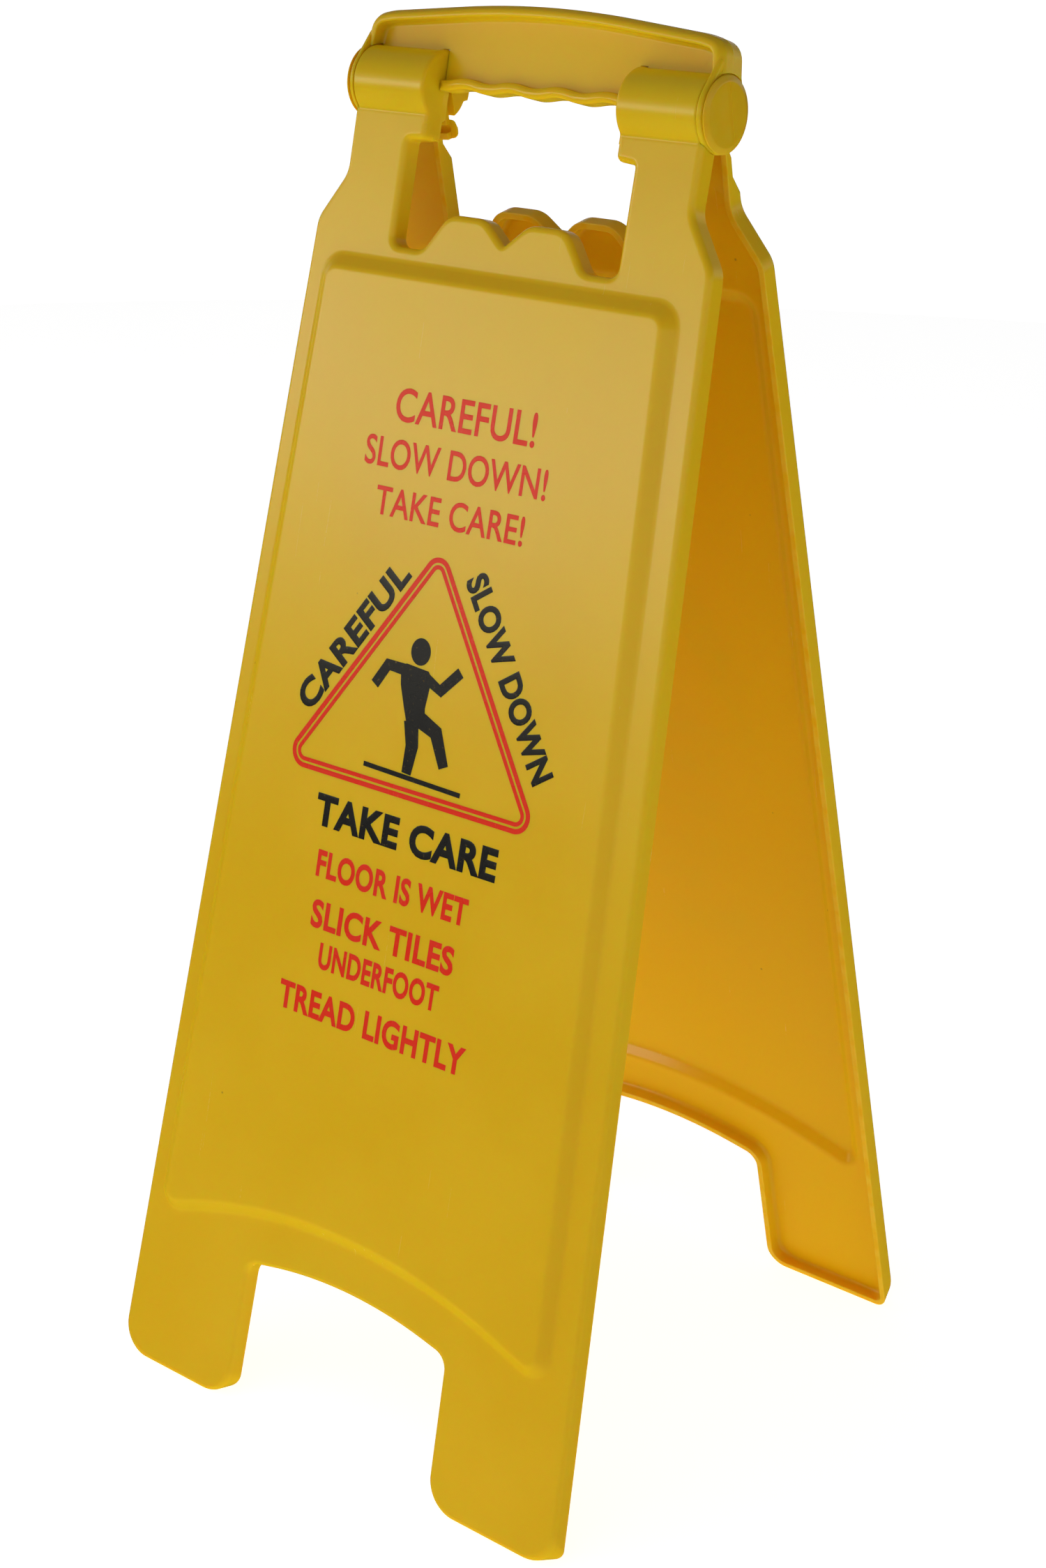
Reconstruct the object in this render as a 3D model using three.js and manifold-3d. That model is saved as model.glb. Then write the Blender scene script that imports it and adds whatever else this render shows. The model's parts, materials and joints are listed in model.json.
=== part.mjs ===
// Folding floor sign: two moulded shell panels, hinged at the top on two headed pins,
// with a separate carrying handle between them. It is built standing open.
// Millimetres, +Z up, -Y to the front, +X along the hinge; the floor is z = 0.
import * as THREE from "three";
import { mergeVertices } from "three/addons/utils/BufferGeometryUtils.js";
import Module from "manifold-3d";

const wasm = await Module();
wasm.setup();

// Driving dimensions.
const SPREAD = THREE.MathUtils.degToRad(25); // angle between the two panels when open
const LEAN = SPREAD / 2;
const PANEL_LENGTH = 622.5; // hinge axis to the foot, along the panel's face
const FOOT_HALF_WIDTH = 136.6;
const HINGE_HALF_WIDTH = 105.7; // the straight sides carried up to the hinge axis
const FACE_OUT = 10; // hinge axis to the outer face of the border
const RIM_BACK = 0.5; // hinge axis to the back edge of the rim
const SHEET = 2.8; // thickness of the face sheet
const RIM_WALL = 3; // thickness of the rim all round
const SOLE_WALL = 5;
const FIELD_RISE = 4.5; // how far the centre field stands out of the border
const FIELD_BEVEL = 6;
const FIELD_BORDER = 10.1; // straight side to the field's outline
const FIELD_SHIFT = -1.6; // the field sits a little to one side of the middle
const HAND_HALF_WIDTH = 62; // half of the hand opening
const NECK = 94.6; // outer side of the arms and hubs
const HUB_INNER = 52; // inner end of the hubs
const HUB_RADIUS = 16;
const HUB_WALL = 3;
const ARM_TOP = 11.5; // where the flat arm runs into the hub
const FRONT_LIP = 20; // degrees from straight up to the top edge of a hub barrel
const BACK_LIP = 33;
const CHEEK_BACK = 2.6; // the front hubs' inner end walls reach this far behind the hinge
const BACK_WAIST_OUT = 3; // the back panel's arms are shallow where they meet the hub,
const BACK_ARM_OUT = 5; // a little deeper below it,
const BACK_ARM_STEP = 27; // and reach full depth along a slope that starts here
const BACK_ARM_SLOPE = 8;
const BACK_BARREL_END = 122; // degrees from straight up to the back barrel's lower lip
const BACK_DRUM_RADIUS = 13.7; // the smaller drum that carries the barrel on to the arm
const PIN_RADIUS = 6;
const PIN_INNER = 60; // inner end of a pin
const PIN_HEAD_RADIUS = 15.8;
const PIN_HEAD_FACE = 97.5;
const PIN_HEAD_THICK = 2.5;
const PIN_HEAD_ROUND = 1.4;
const CLEARANCE = 0.3; // gap between neighbouring pieces
const BORE_GAP = 0.1; // radial play of a pin in its eyes
const EYE_RADIUS = 9.5; // the eyes that hold the pins
const EYES = { handle: [62, 78], front: [80.5, 84.5], back: [86, 90] };
const WEB = 1.5; // half thickness of the handle's web
const FLANGE_DEPTH = 8; // half depth of the handle's flange
const FLANGE = 5.5; // thickness of the flange seen from the front
const GRIP_DEPTH = 5.5;
const GRIP_HALF_LENGTH = 51.4;
const GRIP_PITCH = 25.5; // one finger's width
const GRIP_TOP = 3;
const GRIP_BOTTOM = -0.7;
const GRIP_WAVE = 0.7;
const HUB_CLEAR = HUB_RADIUS + 0.7; // the handle stays outside this radius, except its eyes

const HINGE_HEIGHT = PANEL_LENGTH * Math.cos(LEAN) - FACE_OUT * Math.sin(LEAN);
const SIDE_SLOPE = (FOOT_HALF_WIDTH - HINGE_HALF_WIDTH) / PANEL_LENGTH;
const sideAt = (v) => HINGE_HALF_WIDTH + SIDE_SLOPE * v;

// Panel outlines are lists of corners [u, v, radius]: u across the panel, v down from the
// hinge axis, radius of the round at that corner. They give the right half, top to bottom.
const HALF_OUTLINE = [
  [HAND_HALF_WIDTH, 24.2, 1.6],
  [HUB_INNER, 23.4, 3],
  [HUB_INNER, ARM_TOP, 0],
  [NECK, ARM_TOP, 0],
  [NECK, 41.2, 14],
  [sideAt(62.3), 62.3, 14],
  [FOOT_HALF_WIDTH, PANEL_LENGTH, 12],
  [63.9, PANEL_LENGTH, 12],
  [61.7, 550.7, 8],
];
const HALF_HUMPS = [
  [12.2, 53.6, 12],
  [32.5, 53.6, 11],
  [44.6, 70.4, 7],
  [HAND_HALF_WIDTH, 70.4, 4.5],
];
const HUMP_NOTCH = [0, 63.9, 1.5];
const ARCH_CROWN = [0, 538.1, 240];
const FIELD_CROWN = [0, 506.7, 300];
const FIELD_TOP = 75.7;
const FIELD_BOTTOM = 546.7; // where the field's sides would meet its arched bottom edge

function mirrored(corners) {
  return corners.map(([u, v, radius]) => [-u, v, radius]).reverse();
}

function panelCorners() {
  const right = [...HALF_HUMPS, ...HALF_OUTLINE];
  return [HUMP_NOTCH, ...right, ARCH_CROWN, ...mirrored(right)];
}

function fieldCorners() {
  const half = [
    [sideAt(FIELD_TOP) - FIELD_BORDER, FIELD_TOP, 13],
    [sideAt(FIELD_BOTTOM) - FIELD_BORDER, FIELD_BOTTOM, 12],
  ];
  const all = [...half, FIELD_CROWN, ...mirrored(half)];
  return all.map(([u, v, radius]) => [u + FIELD_SHIFT, v, radius]);
}

// Moves each side of a closed corner list inwards by d and meets the sides again.
function insetCorners(corners, d) {
  const count = corners.length;
  const side = (i) => {
    const [a, b] = [corners[i % count], corners[(i + 1) % count]];
    const along = new THREE.Vector2(b[0] - a[0], b[1] - a[1]).normalize();
    const inward = new THREE.Vector2(-along.y, along.x).multiplyScalar(d);
    return { from: new THREE.Vector2(a[0], a[1]).add(inward), along };
  };
  return corners.map((corner, i) => {
    const before = side((i + count - 1) % count);
    const after = side(i);
    const turn = before.along.cross(after.along);
    const gap = after.from.clone().sub(before.from);
    const step = gap.cross(after.along) / turn;
    const meet = before.from.clone().addScaledVector(before.along, step);
    const radius = corner[2] - Math.sign(turn) * d;
    return [meet.x, meet.y, Math.max(radius, 0)];
  });
}

// Corner list to points: each round becomes a tangent arc.
function roundedPoints(corners, degreesPerStep = 9) {
  const points = [];
  corners.forEach((corner, i) => {
    const at = new THREE.Vector2(corner[0], corner[1]);
    const previous = corners[(i + corners.length - 1) % corners.length];
    const next = corners[(i + 1) % corners.length];
    const back = new THREE.Vector2(previous[0], previous[1]).sub(at).normalize();
    const ahead = new THREE.Vector2(next[0], next[1]).sub(at).normalize();
    const half = Math.acos(THREE.MathUtils.clamp(back.dot(ahead), -1, 1)) / 2;
    const radius = corner[2];
    if (radius < 0.05 || half > Math.PI / 2 - 0.01) {
      points.push(at);
      return;
    }
    const middle = back.clone().add(ahead).normalize();
    const centre = at.clone().addScaledVector(middle, radius / Math.sin(half));
    const start = at.clone().addScaledVector(back, radius / Math.tan(half));
    const end = at.clone().addScaledVector(ahead, radius / Math.tan(half));
    const from = start.sub(centre);
    const sweep = Math.atan2(from.cross(end.clone().sub(centre)), from.dot(end.sub(centre)));
    const finer = radius > 100 ? 4 : 1;
    const steps = Math.ceil((Math.abs(sweep) * 180 * finer) / (Math.PI * degreesPerStep) - 1e-6);
    for (let k = 0; k <= steps; k += 1) {
      const turned = from.clone().rotateAround(new THREE.Vector2(), (sweep * k) / steps);
      points.push(turned.add(centre));
    }
  });
  return points;
}

function solid(geometry) {
  const bare = geometry.clone();
  bare.deleteAttribute("normal");
  bare.deleteAttribute("uv");
  const merged = mergeVertices(bare, 1e-4);
  const vertProperties = new Float32Array(merged.attributes.position.array);
  const triVerts = new Uint32Array(merged.index.array);
  return new wasm.Manifold(new wasm.Mesh({ numProp: 3, vertProperties, triVerts }));
}

function geometryOf(manifold) {
  const mesh = manifold.getMesh();
  const geometry = new THREE.BufferGeometry();
  geometry.setAttribute("position", new THREE.BufferAttribute(mesh.vertProperties, 3));
  geometry.setIndex(new THREE.BufferAttribute(mesh.triVerts, 1));
  geometry.computeVertexNormals();
  return geometry;
}

const join = (parts) => parts.reduce((all, part) => all.add(part));
const extruded = (points, depth) =>
  new THREE.ExtrudeGeometry(new THREE.Shape(points), { depth, bevelEnabled: false });

// A slab in the plane of a panel, from w = low to w = high out of the hinge plane.
function slab(points, low, high) {
  const flipped = points.map((p) => new THREE.Vector2(p.x, -p.y));
  const geometry = extruded(flipped, high - low);
  geometry.translate(0, 0, low);
  geometry.rotateX(Math.PI / 2);
  return solid(geometry);
}

// A bar along the hinge from u = from to u = to, with its section given as [v, w] points.
function bar(section, from, to) {
  const points = section.map(([v, w]) => new THREE.Vector2(-w, -v));
  const geometry = extruded(points, to - from);
  geometry.translate(0, 0, from);
  const turn = new THREE.Matrix4().makeBasis(
    new THREE.Vector3(0, 1, 0),
    new THREE.Vector3(0, 0, 1),
    new THREE.Vector3(1, 0, 0),
  );
  geometry.applyMatrix4(turn);
  return solid(geometry);
}

// The same bar at both ends of the hinge.
const bars = (section, from, to) => bar(section, from, to).add(bar(section, -to, -from));

// Section points on a circle about the hinge; degrees count from straight up to the outside.
function arc(radius, fromDegrees, toDegrees, steps) {
  return Array.from({ length: steps + 1 }, (_, k) => {
    const angle = THREE.MathUtils.degToRad(fromDegrees + ((toDegrees - fromDegrees) * k) / steps);
    return [-radius * Math.cos(angle), radius * Math.sin(angle)];
  });
}

const circle = (radius) => arc(radius, 0, 360 - 360 / 40, 39);
const box = (v0, v1, w0, w1) => [[v0, w0], [v1, w0], [v1, w1], [v0, w1]];

// The centre field, a low block with sloping sides: points of two outlines joined by a skirt.
function fieldBlock(inset, low, rise) {
  const lower = roundedPoints(insetCorners(fieldCorners(), inset));
  const upper = roundedPoints(insetCorners(fieldCorners(), inset + FIELD_BEVEL));
  const count = Math.min(lower.length, upper.length);
  const positions = [];
  const put = (p, w) => positions.push(p.x, -w, -p.y);
  lower.slice(0, count).forEach((p) => put(p, low));
  upper.slice(0, count).forEach((p) => put(p, low + rise));
  const index = [];
  for (let i = 0; i < count; i += 1) {
    const next = (i + 1) % count;
    index.push(i, count + next, next, i, count + i, count + next);
  }
  const cap = (points, offset, flip) => {
    THREE.ShapeUtils.triangulateShape(points.slice(0, count), []).forEach(([a, b, c]) => {
      const face = flip ? [a, c, b] : [a, b, c];
      index.push(...face.map((corner) => corner + offset));
    });
  };
  cap(lower, 0, false);
  cap(upper, count, true);
  const geometry = new THREE.BufferGeometry();
  geometry.setAttribute("position", new THREE.Float32BufferAttribute(positions, 3));
  geometry.setIndex(index);
  return solid(geometry);
}

// Everything under the floor, seen from a panel's own frame.
function underFloor() {
  const geometry = new THREE.BoxGeometry(400, 400, 40);
  geometry.translate(0, 0, -HINGE_HEIGHT - 20);
  geometry.rotateX(LEAN);
  return solid(geometry);
}

// The shell of one panel, without its hubs: sheet, rim all round, raised centre field, soles.
function panelShell() {
  const corners = panelCorners();
  const inner = insetCorners(corners, RIM_WALL).map(([u, v, radius]) => {
    const nearSole = v > PANEL_LENGTH - 2 * RIM_WALL;
    return [u, nearSole ? PANEL_LENGTH - SOLE_WALL : v, radius];
  });
  const body = slab(roundedPoints(corners), RIM_BACK, FACE_OUT);
  const cavity = slab(roundedPoints(inner), RIM_BACK - 1, FACE_OUT - SHEET);
  const overlap = 1;
  const field = fieldBlock(0, FACE_OUT - overlap, FIELD_RISE + overlap);
  const fieldHollow = fieldBlock(SHEET * 0.4, FACE_OUT - SHEET - overlap, FIELD_RISE + overlap);
  return body.subtract(cavity).add(field).subtract(fieldHollow).subtract(underFloor());
}

// An eye round the pin with an arm to the barrel of its hub.
function eye(span, reach) {
  const [from, to] = span;
  const ring = bars(circle(EYE_RADIUS), from, to);
  const arm = bars(box(-5, 5, 0, reach), from, to);
  return ring.add(arm).subtract(bars(circle(PIN_RADIUS + BORE_GAP), from - 1, to + 1));
}

// A hub: a barrel skin between an outer and an inner line, with an end wall at its outer end.
// Both lines run from the barrel's upper lip to its foot; wallTop closes the end wall above.
function hub(outer, inner, wallTop) {
  const skin = bars([...outer, ...[...inner].reverse()], HUB_INNER, NECK);
  const footW = outer[outer.length - 1][1];
  const foot = [[HUB_RADIUS + 1, Math.min(footW, FACE_OUT - 1)], [HUB_RADIUS + 1, RIM_BACK]];
  const wall = bars([...wallTop, ...outer, ...foot], NECK - HUB_WALL, NECK);
  const notch = bars(circle(PIN_RADIUS + CLEARANCE + 0.4), NECK - HUB_WALL - 1, NECK + 1);
  return skin.add(wall.subtract(notch));
}

function frontPanel() {
  const inside = HUB_RADIUS - HUB_WALL;
  const outer = arc(HUB_RADIUS, FRONT_LIP, 144, 14);
  const inner = arc(inside, FRONT_LIP, 144, 14);
  const corner = [-HUB_RADIUS * 0.85, 2.6];
  const hubs = hub(outer, inner, [[0, RIM_BACK], [-8, RIM_BACK], corner]);
  const cheek = [
    [23, RIM_BACK],
    [21, -CHEEK_BACK * 0.3],
    [15, -CHEEK_BACK * 0.3],
    [14, -CHEEK_BACK],
    [-9, -CHEEK_BACK],
    corner,
    ...outer,
    [23, FACE_OUT - 1],
  ];
  const cheeks = bars(cheek, HUB_INNER, HUB_INNER + HUB_WALL);
  return join([panelShell(), hubs, cheeks, eye(EYES.front, HUB_RADIUS - 1)]);
}

// The outer line of the back panel's arms, from the hub down to full depth.
const BACK_ARM_LINE = [
  [ARM_TOP, BACK_WAIST_OUT],
  [15, BACK_WAIST_OUT],
  [19, BACK_ARM_OUT],
  [BACK_ARM_STEP, BACK_ARM_OUT],
  [BACK_ARM_STEP + BACK_ARM_SLOPE, FACE_OUT],
];

// The shallow part of the back panel's arms, as a section along the hinge.
function shallowArm() {
  const end = BACK_ARM_STEP + BACK_ARM_SLOPE;
  const inside = [
    [end + 4, FACE_OUT],
    [end + 4, FACE_OUT - SHEET],
    [end + 1.2, FACE_OUT - SHEET],
    [BACK_ARM_STEP + 2, RIM_BACK],
    [ARM_TOP, RIM_BACK],
  ];
  return [...BACK_ARM_LINE, ...inside];
}

function backPanel() {
  const end = BACK_ARM_STEP + BACK_ARM_SLOPE;
  const across = [-FOOT_HALF_WIDTH, FOOT_HALF_WIDTH];
  const beyond = [[end, FACE_OUT + 10], [5, FACE_OUT + 10], [5, BACK_WAIST_OUT]];
  const shell = panelShell().subtract(bar([...BACK_ARM_LINE, ...beyond], ...across));
  const outline = slab(roundedPoints(panelCorners()), RIM_BACK, FACE_OUT);
  const arm = outline.intersect(bar(shallowArm(), ...across));
  const inside = HUB_RADIUS - HUB_WALL;
  const lip = [[9.4, 13], [9, 10.1]];
  const drum = arc(BACK_DRUM_RADIUS, 132, 167, 4);
  const outer = [...arc(HUB_RADIUS, BACK_LIP, BACK_BARREL_END, 12), ...lip, ...drum];
  const drumInside = arc(BACK_DRUM_RADIUS - SHEET, 132, 167, 4);
  const inner = [...arc(inside, BACK_LIP, BACK_BARREL_END - 6, 12), ...drumInside];
  const slope = Math.tan(SPREAD);
  const clear = CLEARANCE + RIM_BACK;
  const stop = [2, 6, 10, 12.5].map((h) => [-h, slope * h + clear]);
  const hubs = hub(outer, inner, [[2, RIM_BACK], [0, clear], ...stop]);
  const whole = join([shell, arm, hubs, eye(EYES.back, HUB_RADIUS - 1)]);
  const cheekRoom = bars(box(-20, 25, -5, CHEEK_BACK + 0.5), 0, HUB_INNER + HUB_WALL + 0.5);
  return whole.subtract(cheekRoom);
}

// Handle outline in the plane of the handle: u across, h up from the hinge axis.
const HANDLE_TOE = [104.3, -30, 0];
const HANDLE_TIP = [94.6, 28.4, 9];
const HANDLE_SHOULDER = [84, 30.8, 40];
const HANDLE_CROWN = [0, 38.6, 480];
const HANDLE_WEB_FOOT = 8;

function handleCorners() {
  const right = [HANDLE_TOE, HANDLE_TIP, HANDLE_SHOULDER];
  return [...right, HANDLE_CROWN, ...mirrored(right)];
}

// A slab in the plane of the handle, centred on it, with h counted upwards.
const upright = (points, half) =>
  slab(points.map((p) => new THREE.Vector2(p.x, -p.y)), -half, half);

function gripPoints() {
  const points = [];
  const steps = 48;
  for (let k = 0; k <= steps; k += 1) {
    const u = GRIP_HALF_LENGTH * ((2 * k) / steps - 1);
    const wave = GRIP_WAVE * Math.cos((2 * Math.PI * (u + GRIP_PITCH / 2)) / GRIP_PITCH);
    points.push(new THREE.Vector2(u, GRIP_BOTTOM + wave));
  }
  points.push(new THREE.Vector2(GRIP_HALF_LENGTH, GRIP_TOP));
  points.push(new THREE.Vector2(-GRIP_HALF_LENGTH, GRIP_TOP));
  return points;
}

function handle() {
  const corners = handleCorners();
  const outline = roundedPoints(corners);
  const hollow = roundedPoints(insetCorners(corners, FLANGE));
  const frame = upright(outline, FLANGE_DEPTH).subtract(upright(hollow, FLANGE_DEPTH + 1));
  const underHubs = bars(circle(HUB_CLEAR), GRIP_HALF_LENGTH, 130);
  const underWeb = bar(box(-HANDLE_WEB_FOOT, 60, -20, 20), -130, 130);
  const cut = (body) => body.subtract(underHubs).subtract(underWeb);
  const rim = cut(frame);
  const web = cut(upright(outline, WEB));
  const middle = [
    new THREE.Vector2(-GRIP_HALF_LENGTH, GRIP_BOTTOM + GRIP_WAVE),
    new THREE.Vector2(GRIP_HALF_LENGTH, GRIP_BOTTOM + GRIP_WAVE),
    new THREE.Vector2(GRIP_HALF_LENGTH, 20),
    new THREE.Vector2(-GRIP_HALF_LENGTH, 20),
  ];
  const grip = upright(gripPoints(), GRIP_DEPTH);
  const [from, to] = EYES.handle;
  const boss = bars(circle(EYE_RADIUS), from, to);
  const post = bars(box(-HUB_CLEAR - 2, 0, -WEB, WEB), from, to);
  const hole = bars(circle(PIN_RADIUS + BORE_GAP), from - 1, to + 1);
  const lugs = boss.add(post).subtract(hole);
  return join([web, rim, upright(middle, WEB), grip, lugs]);
}

// A hinge pin, turned about its own axis: shaft, chamfered tip, round-edged head.
function pin() {
  const tip = PIN_INNER;
  const seat = PIN_HEAD_FACE - PIN_HEAD_THICK;
  const r = PIN_HEAD_ROUND;
  const profile = [
    [0, tip],
    [PIN_RADIUS - 1, tip],
    [PIN_RADIUS, tip + 1],
    [PIN_RADIUS, seat],
    [PIN_HEAD_RADIUS, seat],
  ];
  for (let k = 0; k <= 4; k += 1) {
    const angle = (Math.PI / 2) * (k / 4);
    const out = PIN_HEAD_RADIUS - r + r * Math.cos(angle);
    profile.push([out, PIN_HEAD_FACE - r + r * Math.sin(angle)]);
  }
  profile.push([0, PIN_HEAD_FACE]);
  const points = profile.map(([radius, along]) => new THREE.Vector2(radius, along));
  const geometry = new THREE.LatheGeometry(points, 40);
  geometry.rotateZ(-Math.PI / 2);
  return geometry;
}

function plastic(color, roughness) {
  return new THREE.MeshStandardMaterial({ color, roughness, metalness: 0 });
}

function place(name, geometry, material, turn) {
  const mesh = new THREE.Mesh(geometry, material);
  mesh.name = name;
  mesh.position.z = HINGE_HEIGHT;
  mesh.rotation.set(...turn);
  return mesh;
}

const panelYellow = plastic(0xe0b400, 0.35);
const handleYellow = plastic(0xdcae00, 0.35);
const pinYellow = plastic(0xd8a800, 0.4);

const group = new THREE.Group();
const facingFront = [-LEAN, 0, 0];
const facingBack = [LEAN, 0, Math.PI];
group.add(place("front_panel", geometryOf(frontPanel()), panelYellow, facingFront));
group.add(place("back_panel", geometryOf(backPanel()), panelYellow, facingBack));
group.add(place("handle", geometryOf(handle()), handleYellow, facingFront));
group.add(place("hinge_pin_right", pin(), pinYellow, [LEAN, 0, 0]));
group.add(place("hinge_pin_left", pin(), pinYellow, [LEAN, 0, Math.PI]));

export default group;
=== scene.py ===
import json
import math

import bmesh
import bpy
from mathutils import Matrix, Vector
from mathutils.geometry import tessellate_polygon


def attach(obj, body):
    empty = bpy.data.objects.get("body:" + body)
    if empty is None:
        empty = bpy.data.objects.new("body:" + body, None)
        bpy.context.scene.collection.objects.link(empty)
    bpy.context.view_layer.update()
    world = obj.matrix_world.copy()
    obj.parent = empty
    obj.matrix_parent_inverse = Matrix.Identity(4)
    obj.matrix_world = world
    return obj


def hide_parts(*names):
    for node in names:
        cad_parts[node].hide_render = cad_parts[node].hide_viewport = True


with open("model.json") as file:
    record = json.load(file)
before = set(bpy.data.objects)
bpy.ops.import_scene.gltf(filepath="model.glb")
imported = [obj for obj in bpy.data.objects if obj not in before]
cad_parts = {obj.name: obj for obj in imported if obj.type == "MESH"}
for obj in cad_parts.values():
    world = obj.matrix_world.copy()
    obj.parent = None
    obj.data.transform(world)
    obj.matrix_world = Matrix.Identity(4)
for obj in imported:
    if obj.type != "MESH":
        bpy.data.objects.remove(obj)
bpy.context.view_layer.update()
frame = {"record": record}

# A folding floor sign of yellow moulded plastic. Lengths are in millimetres in the panels' own
# frames: u across the sign, v down a panel from the hinge line, w out of it. MM turns them to metres.
MM = 0.001
JOINTS = {joint["name"]: joint for joint in frame["record"]["behaviour"]["joints"]}
HINGE_HEIGHT = JOINTS["panel_fold"]["pos_m"][2] / MM
SPREAD = math.radians(JOINTS["panel_fold"]["range_deg"][1])
LEAN = SPREAD / 2

# The panels. Most sizes are the CAD model's own.
PANEL_LENGTH = 622.5
FOOT_HALF_WIDTH = 136.6
HINGE_HALF_WIDTH = 105.7
FACE_OUT = 10
RIM_BACK = 0.5
SHEET = 2.8
EDGE_ROUND = 2.7
FIELD_RISE = 4.5
FIELD_BEVEL = 6
FIELD_BORDER = 10.1
FIELD_SHIFT = -1.6
FIELD_TOP = 75.7
FIELD_BOTTOM = 546.7
SOLE_START = 600
SOLE_BLEND = 20
HAND_HALF_WIDTH = 62
NECK = 94.6
ARM_TOP = 11.5
BACK_ARM_LINE = [(ARM_TOP, 3), (15, 3), (19, 5), (27, 5), (35, FACE_OUT)]

# The hubs at the hinge line. A lip is where a barrel starts, in degrees from straight up.
HUB_INNER = 52
HUB_RADIUS = 16
HUB_WALL = 3
FRONT_LIP = 20
BACK_LIP = 33
BACK_BARREL_END = 122
BACK_DRUM_RADIUS = 13.7
INNER_FACE = HUB_INNER + HUB_WALL
# The hollow room in a barrel, in v and w, and the cap at its outer end.
BARREL_ROOM = HUB_RADIUS - HUB_WALL
ROOM_TOP = -20
ROOM_FOOT = 8.2
ROOM_FLOOR = -9
CAP = 2

# The handle: a web with a flange round it, and an ear beside each barrel.
WEB = 1.5
FLANGE_DEPTH = 8.2
FLANGE = 5.5
PARTING_RIDGE = 0.14
GRIP_HALF_LENGTH = 51.75
GRIP_PITCH = 25.5
GRIP_WAVE = 0.75
GRIP_HALF_DEPTH = 5.6
EAR = (92.9, 95.4)
EAR_RADIUS = HUB_RADIUS + 0.15
HUB_CLEAR = HUB_RADIUS + 0.25
BARREL_END = EAR[0] - 0.1

# The pins, and the rings that they pass through.
PIN_RADIUS = 6
PIN_GAP = 0.1
PIN_BORE = PIN_RADIUS + 0.7
PIN_INNER = 60
PIN_HEAD_RADIUS = 15.8
PIN_HEAD_FACE = 97.5
BORE_REACH = 5
EYE_RADIUS = 9.5
EYE_ROUND = 0.4
EYE_ARM = (-5, 5, 0, HUB_RADIUS - 1.2)
EYES = {"handle": (62, 78), "front": (80.5, 84.5), "back": (86, 90)}

# Small steps that keep the faces of joined solids out of one plane.
HAIR = 0.02
SHY = 0.04
NUDGE = 0.05
# Past every end of the sign.
BEYOND = 130
# Points closer than this are one point, and edges that turn more than this are sharp.
MERGE = 0.004
SHARP = math.radians(34)

# The printing stands this far out of the field, and starts this far inside it.
INK_LIFT = 0.05
INK_ROOT = 0.05

# Colours.
WHITE = (1, 1, 1)
YELLOW = (0.85, 0.575, 0.008)
WARM_YELLOW = (0.80, 0.480, 0.006)
# Pale flash on the rim's back edge, which is also a painted highlight there.
PALE_FLASH_AND_HIGHLIGHT = (0.88, 0.68, 0.07)
DARK_SPECK = (0.22, 0.13, 0.02)
WORN_INK = (0.72, 0.45, 0.03)
INKS = {"red": (0.92, 0.026, 0.004), "black": (0.008, 0.008, 0.008)}
KEY_LIGHT = (1.0, 0.93, 0.74)
PALE = (0.9, 0.9, 0.9)
FLOOR_GLOW = 0.85
WALL_GLOW = 1.0

# The photograph's viewpoint, found by matching the sign's outline: azimuth, elevation and roll in
# degrees, the place in millimetres, and the lens in millimetres.
CAMERA_ANGLES = (38.641, 20.650, 1.068)
CAMERA_PLACE = (691.64, -865.71, HINGE_HEIGHT + 105.52)
CAMERA_LENS = 58.04
CAMERA_SHIFT = -0.0016


def side_at(v):
    """Half width of a panel at v."""
    return HINGE_HALF_WIDTH + (FOOT_HALF_WIDTH - HINGE_HALF_WIDTH) * v / PANEL_LENGTH


def mirrored(corners):
    """The corners of the other half of an outline, in the order that goes on round it."""
    return [(-u, v, *radii) for u, v, *radii in reversed(corners)]


def panel_corners():
    """Corners (u, v, radius) of a panel's outline. The feet have a second radius, at the rim."""
    half = [
        (12.2, 53.6, 12),
        (32.5, 53.6, 11),
        (44.6, 70.4, 7),
        (HAND_HALF_WIDTH, 70.4, 4.5),
        (HAND_HALF_WIDTH, 24.2, 1.6),
        (HUB_INNER, 23.4, 3),
        (HUB_INNER, ARM_TOP, 0),
        (NECK, ARM_TOP, 0),
        (NECK, 41.2, 14),
        (side_at(62.3), 62.3, 14),
        (FOOT_HALF_WIDTH, PANEL_LENGTH, 17, 6),
        (63.9, PANEL_LENGTH, 17, 11),
        (61.7, 550.7, 8),
    ]
    return [(0, 63.9, 1.5)] + half + [(0, 538.1, 240)] + mirrored(half)


def field_corners():
    """Corners of the raised field's outline."""
    half = [
        (side_at(FIELD_TOP) - FIELD_BORDER, FIELD_TOP, 13),
        (side_at(FIELD_BOTTOM) - FIELD_BORDER, FIELD_BOTTOM, 12),
    ]
    corners = half + [(0, 506.7, 300)] + mirrored(half)
    return [(u + FIELD_SHIFT, v, radius) for u, v, radius in corners]


def handle_corners():
    """Corners of the handle's outline, v counted down from the hinge line."""
    half = [(104.3, 30, 0), (94.6, -28.4, 9), (84, -30.8, 40)]
    corners = half + [(0, -38.6, 480)] + mirrored(half)
    return list(reversed(corners))


# Outlines, sections and lofts.

def cross(a, b):
    """How far b turns from a: positive from the first axis towards the second."""
    return a.x * b.y - a.y * b.x


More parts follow.
